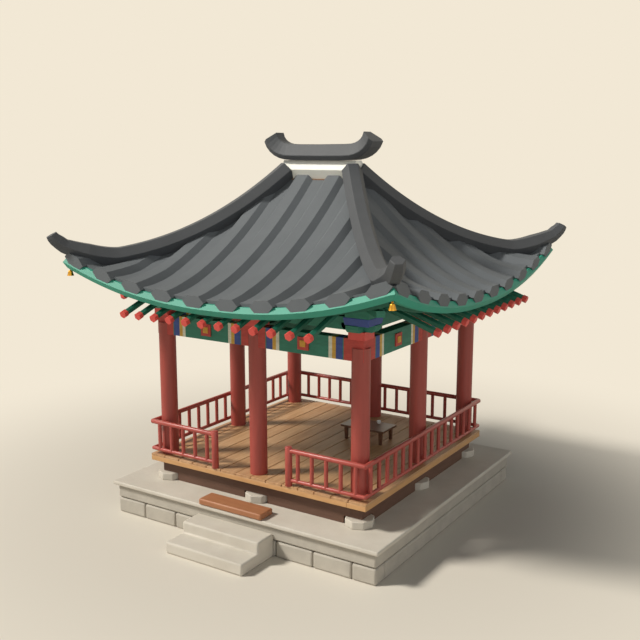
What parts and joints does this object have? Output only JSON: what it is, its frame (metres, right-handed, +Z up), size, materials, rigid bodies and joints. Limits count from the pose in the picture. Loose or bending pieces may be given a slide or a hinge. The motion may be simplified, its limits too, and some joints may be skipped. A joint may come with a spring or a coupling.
{
  "type": "pavilion",
  "caption": "open garden pavilion: stone podium with steps, raised plank floor with railings, round columns, painted beams and a curved hipped tile roof with wind bells at two eave corners",
  "frame": {"origin": "on the ground under the middle of the square podium", "axes": "+X to the right along the entrance side, +Y towards the back, +Z up; the steps are at -Y"},
  "size_m": [6.85, 6.9837, 6.809],
  "materials": {
    "granite": "dressed granite, bush-hammered",
    "deck_timber": "planed pine planks, oiled",
    "dark_timber": "stained timber, satin",
    "column_red": "timber painted dark iron red, satin",
    "bright_red": "timber painted red, satin",
    "rail_red": "timber painted red, satin",
    "beam_green": "timber painted green with coloured end bands, matt",
    "block_blue": "timber painted blue, matt",
    "rafter_green": "timber painted dark green, matt",
    "eave_green": "timber painted light green, matt",
    "roof_tile": "unglazed grey clay tile",
    "plaster": "lime plaster, trowelled",
    "table_wood": "dark lacquered wood",
    "porcelain": "white glazed",
    "bell_brass": "cast brass, dull"
  },
  "bodies": {
    "pavilion": {"podium_core": "granite", "podium_blocks": "granite", "podium_course": "granite", "podium_cap": "granite", "step_lower": "granite", "step_upper": "granite", "step_board": "deck_timber", "base_stones": "granite", "sill_beams": "dark_timber", "floor_joists": "dark_timber", "floor_edge": "deck_timber", "floor_planks": "deck_timber", "columns": "column_red", "tie_beams": "beam_green", "beam_bosses": "bright_red", "head_blocks": "bright_red", "bracket_arms": "beam_green", "bearing_blocks": "block_blue", "purlins": "beam_green", "eave_beams": "beam_green", "cross_beam": "beam_green", "king_posts": "dark_timber", "inner_purlins": "beam_green", "rafters": "rafter_green", "rafter_caps": "bright_red", "hip_rafters": "beam_green", "roof_front": "roof_tile", "roof_back": "roof_tile", "roof_left": "roof_tile", "roof_right": "roof_tile", "eave_boards": "eave_green", "hip_ridges": "roof_tile", "ridge_bed": "dark_timber", "ridge_plaster": "plaster", "ridge_cap": "roof_tile", "railing_back": "rail_red", "railing_left": "rail_red", "railing_right": "rail_red", "railing_front": "rail_red", "table_top": "table_wood", "table_legs": "table_wood", "tea_cup": "porcelain", "bell_hooks": "bell_brass"},
    "bell_fl": {"bell_fl": "bell_brass"},
    "bell_fr": {"bell_fr": "bell_brass"}
  },
  "joints": [
    {"name": "bell_fl_swing", "type": "hinge", "parent": "pavilion", "child": "bell_fl", "pos_m": [-3.14, -3.14, 4.46873], "axis": [0.7071, -0.7071, 0], "range_deg": [-25, 25]},
    {"name": "bell_fr_swing", "type": "hinge", "parent": "pavilion", "child": "bell_fr", "pos_m": [3.14, -3.14, 4.46873], "axis": [0.7071, 0.7071, 0], "range_deg": [-25, 25]}
  ]
}
